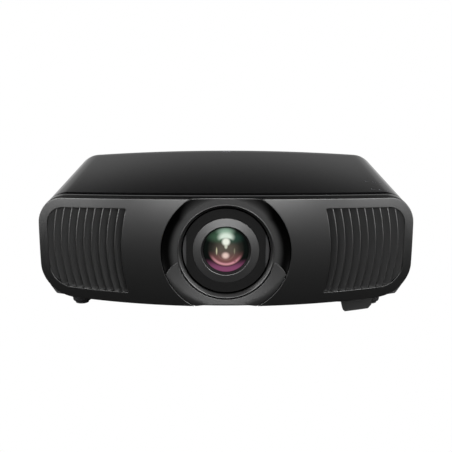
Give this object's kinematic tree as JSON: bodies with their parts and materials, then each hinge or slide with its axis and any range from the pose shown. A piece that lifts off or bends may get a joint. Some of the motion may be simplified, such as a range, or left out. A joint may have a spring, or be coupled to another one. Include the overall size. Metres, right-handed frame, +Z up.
{
  "type": "home projector",
  "caption": "Home cinema projector with a bowed front, curved-slat grilles, a shifting zoom lens in a round bowl, screw feet and a sliding filter tray.",
  "frame": {"origin": "on the table under the middle of the case's box", "axes": "+X to the right seen from the front, the lens looks along -Y, +Z up"},
  "size_m": [0.52, 0.4406, 0.1899],
  "materials": {
    "case_moulding": "fine grain, satin",
    "cover_moulding": "fine grain, satin",
    "front_moulding": "fine grain, satin",
    "grille_moulding": "matt",
    "gloss_bowl": "high gloss",
    "chin_moulding": "satin",
    "rim_moulding": "satin",
    "rear_moulding": "fine grain",
    "control_moulding": "satin",
    "light_windows": "clear light windows",
    "receiver_window": "dark translucent",
    "socket_metal": "plated",
    "inlet_moulding": "matt",
    "button_moulding": "satin",
    "circuit_board": "solder resist",
    "copper_block": "machined",
    "cast_aluminium": "cast",
    "phosphor": "coated disc",
    "optical_glass": "polished",
    "screw_steel": "turned",
    "motor_can": "drawn",
    "barrel_black": "black anodised",
    "nose_metal": "dark satin with fine grooves",
    "coated_glass": "coated",
    "gear_moulding": "satin",
    "gear_brass": "machined",
    "mask_black": "matt",
    "fan_moulding": "satin",
    "tray_moulding": "satin",
    "filter_fleece": "pleated fleece",
    "foot_moulding": "satin",
    "foot_rubber": "matt"
  },
  "bodies": {
    "chassis": {"base_tray": "case_moulding", "top_cover": "cover_moulding", "top_front_trim": "cover_moulding", "front_bezel": "front_moulding", "left_grille": "grille_moulding", "right_grille": "grille_moulding", "lens_bowl": "gloss_bowl", "lens_chin": "chin_moulding", "lens_rim": "rim_moulding", "rear_panel": "rear_moulding", "control_plate": "control_moulding", "status_lights": "light_windows", "remote_window": "receiver_window", "hdmi_sockets": "socket_metal", "usb_sockets": "socket_metal", "data_sockets": "socket_metal", "power_inlet": "inlet_moulding", "main_board": "circuit_board", "power_supply": "circuit_board", "laser_bank": "copper_block", "heat_sink": "cast_aluminium", "optical_housing": "cast_aluminium", "prism_block": "optical_glass", "lens_frame": "cast_aluminium", "x_motor": "motor_can", "fan_frames": "fan_moulding", "rear_feet": "foot_rubber", "case_screws": "screw_steel"},
    "x_stage": {"x_carriage": "cast_aluminium", "z_motor": "motor_can"},
    "z_stage": {"z_carriage": "cast_aluminium", "lens_barrel": "barrel_black", "nose_ring": "nose_metal", "mask_plate": "mask_black", "ring_motors": "motor_can"},
    "x_lead_screw": {"x_screw": "screw_steel"},
    "z_lead_screw": {"z_screw": "screw_steel"},
    "zoom_gear": {"zoom_ring": "gear_moulding"},
    "zoom_pinion_body": {"zoom_pinion": "gear_brass"},
    "zoom_group": {"rear_lens_group": "coated_glass"},
    "focus_gear": {"focus_ring": "gear_moulding"},
    "focus_pinion_body": {"focus_pinion": "gear_brass"},
    "focus_group": {"front_glass": "coated_glass"},
    "colour_wheel": {"phosphor_wheel": "phosphor"},
    "exhaust_fan": {"exhaust_rotor": "fan_moulding"},
    "intake_fan": {"intake_rotor": "fan_moulding"},
    "tray": {"filter_tray": "tray_moulding", "filter_pad": "filter_fleece"},
    "left_pad": {"left_foot_pad": "foot_rubber"},
    "left_foot": {"front_left_foot": "foot_moulding"},
    "right_pad": {"right_foot_pad": "foot_rubber"},
    "right_foot": {"front_right_foot": "foot_moulding"},
    "key_power": {"power_button": "button_moulding"},
    "key_menu": {"menu_button": "button_moulding"},
    "key_escape": {"escape_button": "button_moulding"},
    "key_enter": {"enter_button": "button_moulding"},
    "key_up": {"up_button": "button_moulding"},
    "key_down": {"down_button": "button_moulding"},
    "key_left": {"left_button": "button_moulding"},
    "key_right": {"right_button": "button_moulding"}
  },
  "joints": [
    {"name": "lens_shift_x", "type": "slide", "parent": "chassis", "child": "x_stage", "axis": [1, 0, 0], "range_m": [-0.007, 0.007]},
    {"name": "lens_shift_z", "type": "slide", "parent": "x_stage", "child": "z_stage", "axis": [0, 0, 1], "range_m": [-0.006, 0.006]},
    {"name": "x_screw_turn", "type": "hinge", "parent": "chassis", "child": "x_lead_screw", "pos_m": [0, -0.1775, 0.069], "axis": [1, 0, 0], "range_deg": [-1300, 1300]},
    {"name": "z_screw_turn", "type": "hinge", "parent": "x_stage", "child": "z_lead_screw", "pos_m": [0.043, -0.1885, 0.116], "axis": [0, 0, 1], "range_deg": [-1300, 1300]},
    {"name": "zoom_turn", "type": "hinge", "parent": "z_stage", "child": "zoom_gear", "pos_m": [0, -0.1535, 0.116], "axis": [0, 1, 0], "range_deg": [-30.5, 30.5]},
    {"name": "zoom_pinion_turn", "type": "hinge", "parent": "z_stage", "child": "zoom_pinion_body", "pos_m": [0.04858, -0.1535, 0.09832], "axis": [0, 1, 0], "range_deg": [-173, 173]},
    {"name": "zoom_travel", "type": "slide", "parent": "z_stage", "child": "zoom_group", "axis": [0, 1, 0], "range_m": [-0.005, 0.005]},
    {"name": "focus_turn", "type": "hinge", "parent": "z_stage", "child": "focus_gear", "pos_m": [0, -0.1395, 0.116], "axis": [0, 1, 0], "range_deg": [-30.5, 30.5]},
    {"name": "focus_pinion_turn", "type": "hinge", "parent": "z_stage", "child": "focus_pinion_body", "pos_m": [-0.04858, -0.1395, 0.09832], "axis": [0, 1, 0], "range_deg": [-173, 173]},
    {"name": "focus_travel", "type": "slide", "parent": "z_stage", "child": "focus_group", "axis": [0, 1, 0], "range_m": [-0.0025, 0.0025]},
    {"name": "colour_wheel_spin", "type": "hinge", "parent": "chassis", "child": "colour_wheel", "pos_m": [-0.108, -0.0705, 0.104], "axis": [0, 1, 0], "continuous": true},
    {"name": "exhaust_fan_spin", "type": "hinge", "parent": "chassis", "child": "exhaust_fan", "pos_m": [-0.194, -0.1135, 0.104], "axis": [0, 1, 0], "continuous": true},
    {"name": "intake_fan_spin", "type": "hinge", "parent": "chassis", "child": "intake_fan", "pos_m": [0.194, -0.1135, 0.104], "axis": [0, 1, 0], "continuous": true},
    {"name": "filter_tray_slide", "type": "slide", "parent": "chassis", "child": "tray", "axis": [0, -1, 0], "range_m": [0, 0.12]},
    {"name": "left_foot_travel", "type": "slide", "parent": "chassis", "child": "left_pad", "axis": [0, 0, -1], "range_m": [0, 0.0201]},
    {"name": "left_foot_turn", "type": "hinge", "parent": "left_pad", "child": "left_foot", "pos_m": [-0.218, -0.0775, 0.012], "axis": [0, 0, 1], "range_deg": [0, 4830]},
    {"name": "right_foot_travel", "type": "slide", "parent": "chassis", "child": "right_pad", "axis": [0, 0, -1], "range_m": [0, 0.0201]},
    {"name": "right_foot_turn", "type": "hinge", "parent": "right_pad", "child": "right_foot", "pos_m": [0.218, -0.0775, 0.012], "axis": [0, 0, 1], "range_deg": [0, 4830]},
    {"name": "power_press", "type": "slide", "parent": "chassis", "child": "key_power", "axis": [1, 0, 0], "range_m": [0, 0.0012], "stiffness_N_per_m": 400},
    {"name": "menu_press", "type": "slide", "parent": "chassis", "child": "key_menu", "axis": [1, 0, 0], "range_m": [0, 0.0012], "stiffness_N_per_m": 400},
    {"name": "escape_press", "type": "slide", "parent": "chassis", "child": "key_escape", "axis": [1, 0, 0], "range_m": [0, 0.0012], "stiffness_N_per_m": 400},
    {"name": "enter_press", "type": "slide", "parent": "chassis", "child": "key_enter", "axis": [1, 0, 0], "range_m": [0, 0.0012], "stiffness_N_per_m": 400},
    {"name": "up_press", "type": "slide", "parent": "chassis", "child": "key_up", "axis": [1, 0, 0], "range_m": [0, 0.0012], "stiffness_N_per_m": 400},
    {"name": "down_press", "type": "slide", "parent": "chassis", "child": "key_down", "axis": [1, 0, 0], "range_m": [0, 0.0012], "stiffness_N_per_m": 400},
    {"name": "left_press", "type": "slide", "parent": "chassis", "child": "key_left", "axis": [1, 0, 0], "range_m": [0, 0.0012], "stiffness_N_per_m": 400},
    {"name": "right_press", "type": "slide", "parent": "chassis", "child": "key_right", "axis": [1, 0, 0], "range_m": [0, 0.0012], "stiffness_N_per_m": 400}
  ],
  "couplings": [
    {"joint": "x_screw_turn", "follows": "lens_shift_x", "rad_per_m": 3141.6},
    {"joint": "z_screw_turn", "follows": "lens_shift_z", "rad_per_m": 3141.6},
    {"joint": "zoom_turn", "follows": "zoom_travel", "rad_per_m": 104.72},
    {"joint": "zoom_pinion_turn", "follows": "zoom_travel", "rad_per_m": -598.4},
    {"joint": "focus_turn", "follows": "focus_travel", "rad_per_m": 209.44},
    {"joint": "focus_pinion_turn", "follows": "focus_travel", "rad_per_m": -1196.8},
    {"joint": "left_foot_turn", "follows": "left_foot_travel", "rad_per_m": 4188.8},
    {"joint": "right_foot_turn", "follows": "right_foot_travel", "rad_per_m": 4188.8}
  ]
}
